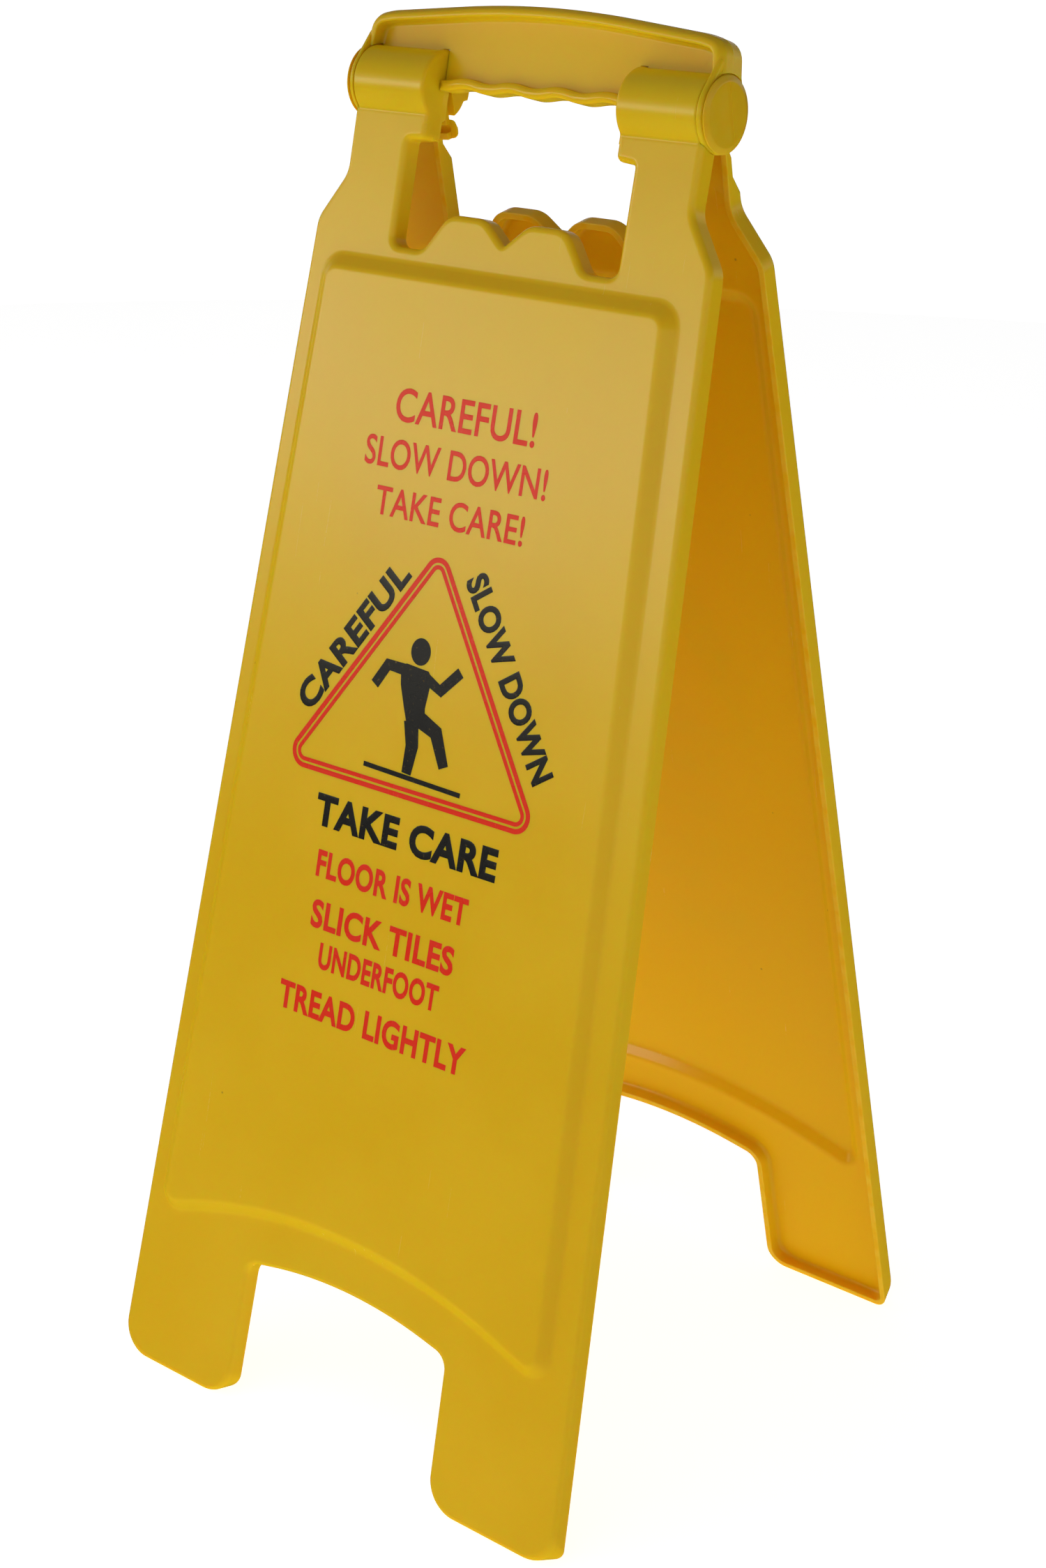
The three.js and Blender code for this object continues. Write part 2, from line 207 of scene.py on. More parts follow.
def corner_ring(corners, inset=0.0, chord=1.3, depth=0.0):
    """Closed outline from corners (x, y, radius), moved inwards by inset. Each corner always gives
    the same number of points, so rings of one outline can be joined point to point. A corner with a
    second radius changes to it as depth goes from 0 to 1."""
    base = [Vector(corner[:2]) for corner in corners]
    count = len(base)
    points = []
    for i, corner in enumerate(corners):
        into = (base[i] - base[i - 1]).normalized()
        out = (base[(i + 1) % count] - base[i]).normalized()
        turn = cross(into, out)
        lean = Vector((-into.y - out.y, into.x + out.x)) / (1 + into.dot(out))
        apex = base[i] + lean * inset
        radius = corner[2]
        if radius < 0.05:
            points.append(apex)
            continue
        sweep = math.atan2(turn, into.dot(out))
        size = chord * (4 if radius > 100 else 1)
        steps = max(3, math.ceil(abs(sweep) * radius / size))
        radius += (corner[-1] - radius) * depth
        kept = max(radius - math.copysign(inset, turn), 0.02)
        side = math.copysign(1, turn)
        normal = Vector((-into.y, into.x)) * side
        start = apex - into * kept * math.tan(abs(sweep) / 2)
        centre = start + normal * kept
        for k in range(steps + 1):
            angle = sweep * k / steps
            arm = -normal * kept
            turned = Vector((
                arm.x * math.cos(angle) - arm.y * math.sin(angle),
                arm.x * math.sin(angle) + arm.y * math.cos(angle),
            ))
            points.append(centre + turned)
    return points


def line_ring(points, inset):
    """Closed outline of plain points, moved inwards by inset."""
    base = [Vector(p) for p in points]
    area = sum(cross(base[i - 1], base[i]) for i in range(len(base)))
    side = math.copysign(1, area)
    moved = []
    for i, point in enumerate(base):
        into = (point - base[i - 1]).normalized()
        out = (base[(i + 1) % len(base)] - point).normalized()
        lean = Vector((-into.y - out.y, into.x + out.x)) / max(0.35, 1 + into.dot(out))
        moved.append(point + lean * inset * side)
    return moved


def rounded_line(corners, chord=0.7):
    """Open line through corners (x, y, radius), with its corners rounded."""
    points = []
    for i, corner in enumerate(corners):
        at = Vector(corner[:2])
        if i in (0, len(corners) - 1) or corner[2] < 0.02:
            points.append(at)
            continue
        into = (at - Vector(corners[i - 1][:2])).normalized()
        out = (Vector(corners[i + 1][:2]) - at).normalized()
        sweep = math.atan2(cross(into, out), into.dot(out))
        side = math.copysign(1, sweep)
        radius = corner[2]
        start = at - into * radius * math.tan(abs(sweep) / 2)
        arm = Vector((into.y, -into.x)) * side * radius
        centre = start - arm
        steps = max(3, math.ceil(abs(sweep) * radius / chord))
        for k in range(steps + 1):
            angle = sweep * k / steps
            points.append(centre + Vector((
                arm.x * math.cos(angle) - arm.y * math.sin(angle),
                arm.x * math.sin(angle) + arm.y * math.cos(angle),
            )))
    return points


def arc(radius, start, end, steps):
    """Section points (v, w) on a circle about the hinge, from one angle to another. Angles are in
    degrees, from straight up towards the outside."""
    angles = [math.radians(start + (end - start) * k / steps) for k in range(steps + 1)]
    return [(-radius * math.cos(a), radius * math.sin(a)) for a in angles]


def circle(radius, steps=48):
    """Section points of a whole circle about the hinge."""
    return arc(radius, 0, 360 - 360 / steps, steps - 1)


def add_ring(bm, ring, place):
    """Vertices for a ring of flat points, put where place says."""
    return [bm.verts.new(place(point)) for point in ring]


def bridge(bm, a, b):
    """Faces between two closed loops with the same number of vertices."""
    for i in range(len(a)):
        j = (i + 1) % len(a)
        bm.faces.new((a[i], a[j], b[j], b[i]))


def fill(bm, loops, flats):
    """Fills between closed loops of vertices; flats are the same loops as flat points."""
    verts = [vert for loop in loops for vert in loop]
    outlines = [[Vector((p[0], p[1], 0)) for p in flat] for flat in flats]
    for triangle in tessellate_polygon(outlines):
        if len(set(triangle)) == 3:
            bm.faces.new([verts[i] for i in triangle])


def clean(bm):
    """Merges doubled points, and turns every face outwards."""
    bmesh.ops.remove_doubles(bm, verts=bm.verts, dist=MERGE)
    bmesh.ops.dissolve_degenerate(bm, edges=bm.edges, dist=MERGE / 4)
    bmesh.ops.recalc_face_normals(bm, faces=bm.faces)


def loft(rings, place):
    """Closed solid through rings of (flat point, level), capped at both ends."""
    bm = bmesh.new()
    loops = [add_ring(bm, ring, place(level)) for ring, level in rings]
    for a, b in zip(loops, loops[1:]):
        bridge(bm, a, b)
    fill(bm, [loops[0]], [rings[0][0]])
    fill(bm, [loops[-1]], [rings[-1][0]])
    clean(bm)
    return bm


def spin(bm, line, place, steps=96):
    """Joined loops of vertices round an axis, one for each (radius, along) point of a line."""
    angles = [2 * math.pi * k / steps for k in range(steps)]
    loops = []
    for radius, along in line:
        ring = [(radius * math.cos(a), radius * math.sin(a)) for a in angles]
        loops.append(add_ring(bm, ring, place(along)))
    for a, b in zip(loops, loops[1:]):
        bridge(bm, a, b)
    return loops


def slab_place(level):
    """Places an outline of (u, v) at height w = level."""
    return lambda point: (point[0], point[1], level)


def bar_place(level):
    """Places a section of (v, w) at u = level."""
    return lambda point: (level, point[0], point[1])


def end_rings(section, low, high, round_low, round_high, steps=4):
    """Rings of a prism whose end edges are rounded."""
    rings = []
    for k in range(steps + 1):
        angle = math.pi / 2 * k / steps
        inset = round_low * (1 - math.sin(angle))
        rings.append((line_ring(section, inset), low + round_low * (1 - math.cos(angle))))
        if round_low == 0:
            break
    for k in range(steps + 1):
        angle = math.pi / 2 * (1 - k / steps)
        inset = round_high * (1 - math.sin(angle))
        rings.append((line_ring(section, inset), high - round_high * (1 - math.cos(angle))))
        if round_high == 0:
            break
    return rings


def bar(section, low, high, round_low=0.0, round_high=0.0):
    """Solid along the hinge from u = low to u = high, from a section of (v, w) points."""
    return loft(end_rings(section, low, high, round_low, round_high), bar_place)


def slab(outline, low, high, round_low=0.0, round_high=0.0):
    """Solid in the plane of a panel from w = low to w = high, from an outline of (u, v) points."""
    return loft(end_rings(outline, low, high, round_low, round_high), slab_place)


def box_section(v0, v1, w0, w1):
    """Section points of an upright rectangle."""
    return [(v0, w0), (v1, w0), (v1, w1), (v0, w1)]


def flipped(bm):
    """The same solid at the other end of the hinge."""
    copy = bm.copy()
    bmesh.ops.scale(copy, vec=(-1, 1, 1), verts=copy.verts)
    bmesh.ops.reverse_faces(copy, faces=copy.faces)
    return copy


# Objects.

def add_object(name, bm):
    """An object made of the bmesh, which is used up."""
    mesh = bpy.data.meshes.new(name)
    bm.to_mesh(mesh)
    bm.free()
    obj = bpy.data.objects.new(name, mesh)
    bpy.context.collection.objects.link(obj)
    return obj


def apply_modifiers(obj):
    """Keeps what the modifiers make of the mesh, and removes them."""
    graph = bpy.context.evaluated_depsgraph_get()
    mesh = bpy.data.meshes.new_from_object(obj.evaluated_get(graph))
    obj.modifiers.clear()
    old = obj.data
    obj.data = mesh
    bpy.data.meshes.remove(old)


def combine(obj, bm, operation):
    """Adds a solid to obj, or takes it away, and discards it."""
    tool = add_object("tool", bm)
    modifier = obj.modifiers.new("combine", "BOOLEAN")
    modifier.object = tool
    modifier.operation = operation
    modifier.solver = "EXACT"
    apply_modifiers(obj)
    bpy.data.meshes.remove(tool.data)


def panel_matrix(back=False):
    """Takes (u, v, w) in millimetres to the row frame in metres."""
    axes = Matrix(((MM, 0, 0, 0), (0, 0, -MM, 0), (0, -MM, 0, 0), (0, 0, 0, 1)))
    lean = Matrix.Rotation(-LEAN, 4, "X")
    turn = Matrix.Rotation(math.pi, 4, "Z") if back else Matrix.Identity(4)
    lift = Matrix.Translation((0, 0, HINGE_HEIGHT * MM))
    return lift @ turn @ lean @ axes


def crease(obj):
    """Marks the sharper edges as sharp, and shades the rest smooth."""
    bm = bmesh.new()
    bm.from_mesh(obj.data)
    for edge in bm.edges:
        edge.smooth = len(edge.link_faces) == 2 and edge.calc_face_angle(0) < SHARP
    for face in bm.faces:
        face.smooth = True
    bm.to_mesh(obj.data)
    bm.free()


def settle(obj, matrix, body, material, replaced=()):
    # Painted shade: a mask of the faces turned inwards, which the plastic makes a deeper, oranger
    # yellow.
    inward_shade = obj.data.attributes.new("inward_shade", "FLOAT", "POINT")
    inward_shade.data.foreach_set("value", [max(0, -item.vector.z) for item in obj.data.vertex_normals])
    local = obj.data.attributes.new("local", "FLOAT_VECTOR", "POINT")
    local.data.foreach_set("vector", [c for vert in obj.data.vertices for c in vert.co])
    obj.data.transform(matrix)
    bm = bmesh.new()
    bm.from_mesh(obj.data)
    bmesh.ops.recalc_face_normals(bm, faces=bm.faces)
    bm.to_mesh(obj.data)
    bm.free()
    crease(obj)
    weighted = obj.modifiers.new("flat faces", "WEIGHTED_NORMAL")
    weighted.mode = "FACE_AREA"
    weighted.weight = 50
    weighted.keep_sharp = True
    obj.data.materials.clear()
    obj.data.materials.append(material)
    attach(obj, body)
    if replaced:
        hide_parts(*replaced)
    return obj


# Materials.

class Nodes:
    """Short calls for building the nodes of a material or a world."""

    def __init__(self, owner, shader="Principled BSDF"):
        owner.use_nodes = True
        self.owner = owner
        self.tree = owner.node_tree
        self.shader = self.tree.nodes[shader]

    def add(self, kind, **values):
        """A node with some of its settings or sockets set."""
        node = self.tree.nodes.new(kind)
        for key, value in values.items():
            if hasattr(node, key):
                setattr(node, key, value)
            else:
                node.inputs[key].default_value = value
        return node

    def link(self, source, target):
        """Joins an output to a node's input, or to the shader's input of that name."""
        if isinstance(target, str):
            target = self.shader.inputs[target]
        self.tree.links.new(source, target)

    def fix(self, **values):
        """Sets sockets of the shader; an underscore in a name stands for a space."""
        for key, value in values.items():
            self.shader.inputs[key.replace("_", " ")].default_value = value

    def attribute(self, name, output):
        """A value that the mesh keeps at its points."""
        return self.add("ShaderNodeAttribute", attribute_name=name).outputs[output]

    def noise(self, vector, scale, detail):
        node = self.add("ShaderNodeTexNoise", Scale=scale, Detail=detail)
        self.link(vector, node.inputs["Vector"])
        return node.outputs["Fac"]

    def math(self, operation, a, b):
        node = self.add("ShaderNodeMath", operation=operation)
        for socket, value in zip(node.inputs, (a, b)):
            if isinstance(value, (int, float)):
                socket.default_value = value
            else:
                self.link(value, socket)
        return node.outputs[0]

    def ramp(self, value, low, high, out_low=0.0, out_high=1.0):
        """Goes smoothly from out_low to out_high as value goes from low to high."""
        node = self.add("ShaderNodeMapRange", interpolation_type="SMOOTHSTEP")
        self.link(value, node.inputs["Value"])
        for socket, number in zip(list(node.inputs)[1:5], (low, high, out_low, out_high)):
            socket.default_value = number
        return node.outputs["Result"]

    def mix(self, factor, a, b):
        """The colour a where the factor is 0, and b where it is 1."""
        node = self.add("ShaderNodeMix", data_type="RGBA")
        for socket, value in ((node.inputs[0], factor), (node.inputs[6], a), (node.inputs[7], b)):
            if isinstance(value, tuple):
                socket.default_value = (*value, 1)
            else:
                self.link(value, socket)
        return node.outputs[2]

    def bump(self, height, strength, distance):
        """Tilts the material's surface as if it had this height."""
        node = self.add("ShaderNodeBump", Strength=strength, Distance=distance)
        self.link(height, node.inputs["Height"])
        self.link(node.outputs["Normal"], "Normal")


def stretched(nodes, vector, scale, turn):
    """Coordinates squeezed along one direction, for long fine scratches."""
    node = nodes.add("ShaderNodeMapping", Rotation=(0, 0, turn), Scale=scale)
    nodes.link(vector, node.inputs["Vector"])
    return node.outputs["Vector"]


def shaded(color, red, green, blue):
    """The colour with each of its parts multiplied, and none above 1."""
    return tuple(min(part * share, 1) for part, share in zip(color, (red, green, blue)))


def plastic(name, color, wear_and_shade=1.0):
    """Moulded polypropylene: even colour with faint clouding, fine scratches, specks, and pale
    flash along the parting edges, painted also as a highlight along the rim's back edge. The
    faces turned inwards get painted shade, a deeper yellow. The last argument scales the wear,
    the flash and the painted shade together."""
    nodes = Nodes(bpy.data.materials.new(name))
    local = nodes.attribute("local", "Vector")
    parts = nodes.add("ShaderNodeSeparateXYZ")
    nodes.link(local, parts.inputs[0])
    cloud = nodes.noise(local, 0.012, 3)
    fine = nodes.noise(local, 0.9, 3)

    deep = shaded(color, 0.985, 0.97, 0.9)
    light = shaded(color, 1.01, 1.015, 1.1)
    # Painted shade: the faces turned inwards are mixed towards this deeper, oranger yellow.
    shadow = shaded(color, 0.97, 0.86, 0.4)
    tint = nodes.mix(nodes.ramp(cloud, 0.35, 0.65), deep, light)
    inward_shade = nodes.math("MULTIPLY", nodes.attribute("inward_shade", "Fac"), wear_and_shade)
    tint = nodes.mix(inward_shade, tint, shadow)
    # Pale moulding flash near the rim's back edge, painted also as the highlight that runs along that
    # edge.
    flash_and_highlight = nodes.math("MULTIPLY", nodes.ramp(parts.outputs["Z"], 1.3, 0.7), 0.32 * wear_and_shade)
    flash_and_highlight = nodes.math("MULTIPLY", flash_and_highlight, nodes.ramp(nodes.noise(local, 0.11, 4), 0.3, 0.62))
    tint = nodes.mix(flash_and_highlight, tint, PALE_FLASH_AND_HIGHLIGHT)
    specks = nodes.add("ShaderNodeTexVoronoi", Scale=0.035, Randomness=1.0)
    nodes.link(local, specks.inputs["Vector"])
    speck = nodes.ramp(specks.outputs["Distance"], 0.026, 0.012)
    tint = nodes.mix(nodes.math("MULTIPLY", speck, 0.5 * wear_and_shade), tint, DARK_SPECK)
    nodes.link(tint, "Base Color")

    first = nodes.noise(stretched(nodes, local, (0.55, 0.018, 0.3), 0.22), 1.0, 2)
    second = nodes.noise(stretched(nodes, local, (0.42, 0.014, 0.3), -0.35), 1.0, 2)
    first = nodes.ramp(first, 0.70, 0.78)
    second = nodes.ramp(second, 0.71, 0.79)
    scratches = nodes.math("MAXIMUM", first, second)
    rough = nodes.ramp(cloud, 0.3, 0.7, 0.22, 0.26)
    rough = nodes.math("ADD", rough, nodes.math("MULTIPLY", scratches, 0.03 * wear_and_shade))
    rough = nodes.math("ADD", rough, nodes.ramp(fine, 0.2, 0.8, -0.01, 0.01))
    nodes.link(rough, "Roughness")

    ripple = nodes.math("MULTIPLY", nodes.noise(local, 0.035, 2), 0.4)
    grain = nodes.math("MULTIPLY", nodes.noise(local, 1.6, 2), 0.012)
    height = nodes.math("ADD", ripple, grain)
    height = nodes.math("SUBTRACT", height, nodes.math("MULTIPLY", scratches, 0.003 * wear_and_shade))
    nodes.bump(height, 0.35, 0.0006)
    nodes.fix(IOR=1.49, Specular_IOR_Level=0.5, Subsurface_Weight=0.7,
              Subsurface_Radius=(1.0, 0.34, 0.04), Subsurface_Scale=0.004)
    return nodes.owner


def ink(name, color):
    """Screen-printed ink with slightly uneven cover."""
    nodes = Nodes(bpy.data.materials.new(name))
    local = nodes.attribute("local", "Vector")
    cover = nodes.ramp(nodes.noise(local, 0.6, 4), 0.62, 0.8, 0.0, 0.16)
    nodes.link(nodes.mix(cover, color, WORN_INK), "Base Color")
    nodes.link(nodes.ramp(nodes.noise(local, 0.05, 2), 0.3, 0.7, 0.25, 0.31), "Roughness")
    nodes.bump(nodes.noise(local, 2.5, 2), 0.2, 0.0002)
    nodes.fix(Specular_IOR_Level=0.3)
    return nodes.owner


# The panels.

def sole_shift(point, w):
    """Moves the foot's end so that the sole is level when the sign stands open."""
    share = min(max((point[1] - SOLE_START) / SOLE_BLEND, 0), 1)
    return point[0], point[1] - (FACE_OUT - w) * math.tan(LEAN) * share, w


def panel_shell():
    """The sheet, its rim and the raised field as one closed skin. Each profile holds points
    (distance in from the outline, w, radius)."""
    bm = bmesh.new()
    inner = FACE_OUT - SHEET
    rim = rounded_line([
        (3.1, FACE_OUT, 0),
        (0, FACE_OUT, EDGE_ROUND),
        (0, RIM_BACK, 0.5),
        (HUB_WALL, RIM_BACK, 0.5),
        (HUB_WALL + 0.15, inner, 2.3),
        (HUB_WALL + 2.6, inner, 0),
    ])
    step_out = 1.1
    bevel = rounded_line([
        (-0.5, FACE_OUT, 0),
        (step_out, FACE_OUT, 4.0),
        (step_out + FIELD_BEVEL, FACE_OUT + FIELD_RISE, 4.5),
        (step_out + FIELD_BEVEL + 2.2, FACE_OUT + FIELD_RISE, 0),
    ])
    step_in = 2.3
    hollow = rounded_line([
        (0.2, inner, 0),
        (step_in, inner, 5.5),
        (step_in + FIELD_BEVEL, inner + FIELD_RISE, 5.5),
        (step_in + FIELD_BEVEL + 2.2, inner + FIELD_RISE, 0),
    ])

    def rings(outline, profile):
        loops = []
        for inset, w in profile:
            depth = min(max((FACE_OUT - w) / (FACE_OUT - RIM_BACK), 0), 1)
            ring = corner_ring(outline, inset, depth=depth)
            placed = [sole_shift(point, w) for point in ring]
            loops.append((add_ring(bm, placed, lambda point: point), ring))
        for a, b in zip(loops, loops[1:]):
            bridge(bm, a[0], b[0])
        return loops

    around = rings(panel_corners(), rim)
    outside = rings(field_corners(), bevel)
    inside = rings(field_corners(), hollow)
    for loops in ((around[0], outside[0]), (around[-1], inside[0]), (outside[-1],), (inside[-1],)):
        fill(bm, [verts for verts, _ in loops], [ring for _, ring in loops])
    clean(bm)
    return bm


def eye(span, arm, rounding):
    """A ring round the pin with its arm, a box of (v, v, w, w)."""
    low, high = span
    ring = add_object("eye", bar(circle(EYE_RADIUS), low, high, rounding, rounding))
    combine(ring, bar(box_section(*arm), low + NUDGE, high - NUDGE), "UNION")
    combine(ring, bar(circle(PIN_RADIUS + PIN_GAP), low - 1, high + 1), "DIFFERENCE")
    return taken(ring)


def taken(obj):
    """The object's mesh as a bmesh; the object is removed."""
    bm = bmesh.new()
    bm.from_mesh(obj.data)
    bpy.data.meshes.remove(obj.data)
    return bm


def both_ends(obj, bm, operation="UNION"):
    """Adds a solid, or takes it away, at both ends of the hinge."""
    combine(obj, bm.copy(), operation)
    combine(obj, flipped(bm), operation)
    bm.free()


def pin_hole():
    """The hole for the pin at the neck."""
    return bar(circle(PIN_BORE), NECK - BORE_REACH, NECK + BORE_REACH)


def front_hub():
    """The front panel's barrel at one end of the hinge, with its end wall, cheek and eye."""
    # The barrel runs into the face of the panel through a hollow fillet.
    fillet = 2
    reach = HUB_RADIUS + fillet
    level = FACE_OUT + fillet - SHY
    along = math.sqrt(reach ** 2 - level ** 2)
    meets = math.degrees(math.acos(-along / reach))
    first = math.atan2(-level, -along)
    turns = [first + (-math.pi / 2 - first) * k / 5 for k in range(1, 6)]
    section = [(HUB_RADIUS + 1, RIM_BACK), (-8, RIM_BACK), (-13.6, 2.6)]
    section += arc(HUB_RADIUS, FRONT_LIP, meets, 40)
    section += [(along + fillet * math.cos(t), level + fillet * math.sin(t)) for t in turns]
    section.append((HUB_RADIUS + 1, FACE_OUT - SHY))
    hub = add_object("hub", bar(section, HUB_INNER + HAIR, BARREL_END, 1.8, 1.2))
    room = [(ROOM_FOOT, ROOM_FLOOR), (ROOM_TOP, ROOM_FLOOR), (ROOM_TOP, 4.2)]
    room += arc(BARREL_ROOM, FRONT_LIP + 1, 128, 30)
    combine(hub, bar(room, INNER_FACE, BARREL_END - CAP), "DIFFERENCE")
    end_wall = [(-9, 9), (-9, -2.6), (-15.6, -1.2)] + arc(HUB_RADIUS - 0.06, 0, 23, 8)
    combine(hub, bar(end_wall, HUB_INNER + 0.1, INNER_FACE - 0.1, 1.2, 0.3), "UNION")
    cheek = [(23, 3), (23.2, RIM_BACK), (21.5, -0.8), (15, -0.8)]
    cheek += [(14, -2.7), (-8, -2.7), (-12, 0.5), (-12, 3)]
    combine(hub, bar(cheek, HUB_INNER + HAIR, INNER_FACE + 0.01, 0.6, 0), "UNION")
    combine(hub, pin_hole(), "DIFFERENCE")
    combine(hub, eye(EYES["front"], EYE_ARM, EYE_ROUND), "UNION")
    return taken(hub)


def back_hub():
    """The back panel's barrel at one end of the hinge: a face at the angle of the spread, the
    outer shell, a smaller drum below it, and a foot that joins the panel."""
    stop = [(0, 0.8), (-12.5, 12.5 * math.tan(SPREAD) + 0.8)]
    outer = arc(HUB_RADIUS, BACK_LIP, BACK_BARREL_END, 30)
    drum = [(9.35, 13.0), (9.1, 10.5)] + arc(BACK_DRUM_RADIUS, 134, 167, 12)
    foot = [(HUB_RADIUS + 1, 2.6), (HUB_RADIUS + 1, RIM_BACK), (2, RIM_BACK)]
    hub = add_object("hub", bar(stop + outer + drum + foot, HUB_INNER, BARREL_END, 0.5, 0.9))
    room = [(ROOM_FOOT, ROOM_FLOOR), (ROOM_TOP, ROOM_FLOOR), (ROOM_TOP, 7.5)]
    room += arc(BARREL_ROOM, BACK_LIP + 1, BACK_BARREL_END, 24)
    combine(hub, bar(room, INNER_FACE + 3.5, BARREL_END - CAP), "DIFFERENCE")
    combine(hub, pin_hole(), "DIFFERENCE")
    combine(hub, eye(EYES["back"], EYE_ARM, EYE_ROUND), "UNION")
    # Room for the front panel's end wall and cheek.
    clearance = [(25, -5), (25, 3.2), (-2, 3.2), (-9, 7.6), (-20, 14), (-20, -5)]
    combine(hub, bar(clearance, 0, INNER_FACE + 0.5), "DIFFERENCE")
    return taken(hub)


def thin_back_arms(bm):
    """Presses the arms of the back panel to their shallow section."""
    for v, _ in BACK_ARM_LINE[1:]:
        geometry = bm.verts[:] + bm.edges[:] + bm.faces[:]
        bmesh.ops.bisect_plane(bm, geom=geometry, plane_co=(0, v, 0), plane_no=(0, 1, 0))
    for vert in bm.verts:
        v = vert.co.y
        if v < BACK_ARM_LINE[-1][0]:
            depth = FACE_OUT
            for (v0, w0), (v1, w1) in zip(BACK_ARM_LINE, BACK_ARM_LINE[1:]):
                if v0 - 1 <= v <= v1:
                    depth = w0 + (w1 - w0) * max(v - v0, 0) / (v1 - v0)
                    break
            share = (depth - RIM_BACK) / (FACE_OUT - RIM_BACK)
            vert.co.z = RIM_BACK + (vert.co.z - RIM_BACK) * share


def build_panel(name, body, back, material):
    """A panel with its two barrels, in place of the CAD model's panel."""
    bm = panel_shell()
    if back:
        thin_back_arms(bm)
    panel = add_object(name, bm)
    both_ends(panel, back_hub() if back else front_hub())
    if back:
        room = bar([(9, -5), (25, -5), (25, 3.1), (9, 3.1)], 0, INNER_FACE + 0.5)
        both_ends(panel, room, "DIFFERENCE")
    ear_room = bar(circle(EAR_RADIUS + 0.2, 96), BARREL_END + 0.01, NECK + 9)
    both_ends(panel, ear_room, "DIFFERENCE")
    return settle(panel, panel_matrix(back), body, material, [f"{body}_panel"])


# The handle and its pins.

def grip_outline():
    """The grip strip seen from the front: a level bar with finger waves above and below."""
    steps = 72
    us = [GRIP_HALF_LENGTH * (2 * k / steps - 1) for k in range(steps + 1)]

    def wave(u):
        return GRIP_WAVE * math.cos(2 * math.pi * (u + GRIP_PITCH / 2) / GRIP_PITCH)

    lower = [(u, 1.0 - wave(u)) for u in us]
    upper = [(u, -3.6 - wave(u)) for u in reversed(us)]
    return lower + upper


def build_handle(material):
    """The handle: its outline with a flange, cut away for the barrels, with a grip, ears and
    lugs. The profile holds points (distance in from the outline, w, radius)."""
    depth = FLANGE_DEPTH
    profile = rounded_line([
        (FLANGE + 7, WEB, 0),
        (FLANGE, WEB, 1.6),
        (FLANGE - 0.3, depth - 0.5, 0.8),
        (2.7, depth, 2.7),
        (0.3, depth - 3.4, 3.5),
        (0, 0.5, 0),
        (-PARTING_RIDGE, 0, 0),
        (0, -0.5, 0),
        (0.3, -depth, 2.2),
        (FLANGE - 0.5, -depth, 1.2),
        (FLANGE, -WEB, 1.6),
        (FLANGE + 7, -WEB, 0),
    ])
    rings = [(corner_ring(handle_corners(), inset, 2.0), w) for inset, w in profile]
    handle = add_object("handle_body", loft(rings, slab_place))

    barrel_room = bar(circle(HUB_CLEAR, 96), GRIP_HALF_LENGTH, EAR[0] - HAIR)
    both_ends(handle, barrel_room, "DIFFERENCE")
    head_room = bar(circle(EAR_RADIUS + 0.15, 96), EAR[1] - 0.3, BEYOND)
    both_ends(handle, head_room, "DIFFERENCE")
    # The outline is cut off below the grip, and a little higher up beside it.
    for top, low, high in (
        (-8, GRIP_HALF_LENGTH, BEYOND),
        (-8, -BEYOND, -GRIP_HALF_LENGTH),
        (-1, -60, 60),
    ):
        combine(handle, bar(box_section(top, 60, -20, 20), low, high), "DIFFERENCE")

    grip = slab(grip_outline(), -GRIP_HALF_DEPTH, GRIP_HALF_DEPTH, 1.9, 1.9)
    combine(handle, grip, "UNION")
    # The web reaches down into the room of each barrel.
    tuck = box_section(-18, -HUB_RADIUS + HUB_WALL - 0.4, SHY - WEB, WEB - SHY)
    both_ends(handle, bar(tuck, INNER_FACE + 0.5, NECK - HUB_WALL - 0.4))
    outline = [(-21, depth - 1.3)] + arc(EAR_RADIUS, 64, 296, 90) + [(-21, 1.3 - depth)]
    ear = add_object("ear", bar(outline, *EAR, 0.5, 1.9))
    combine(ear, bar(circle(PIN_RADIUS + PIN_GAP), EAR[0] - 1, EAR[1] + 1), "DIFFERENCE")
    both_ends(handle, taken(ear))
    lug_arm = (-HUB_CLEAR - 2, 0, 2 * SHY - WEB, WEB - 2 * SHY)
    both_ends(handle, eye(EYES["handle"], lug_arm, 0.5))
    return settle(handle, panel_matrix(), "handle", material, ["handle"])


def lathe(profile):
    """Solid turned about the hinge line, from (radius, u) points that start and end at radius 0."""
    bm = bmesh.new()
    loops = spin(bm, profile[1:-1], bar_place)
    for loop, (_, along) in ((loops[0], profile[0]), (loops[-1], profile[-1])):
        middle = bm.verts.new((along, 0, 0))
        for i, vert in enumerate(loop):
            bm.faces.new((vert, loop[(i + 1) % len(loop)], middle))
    bmesh.ops.recalc_face_normals(bm, faces=bm.faces)
    return bm


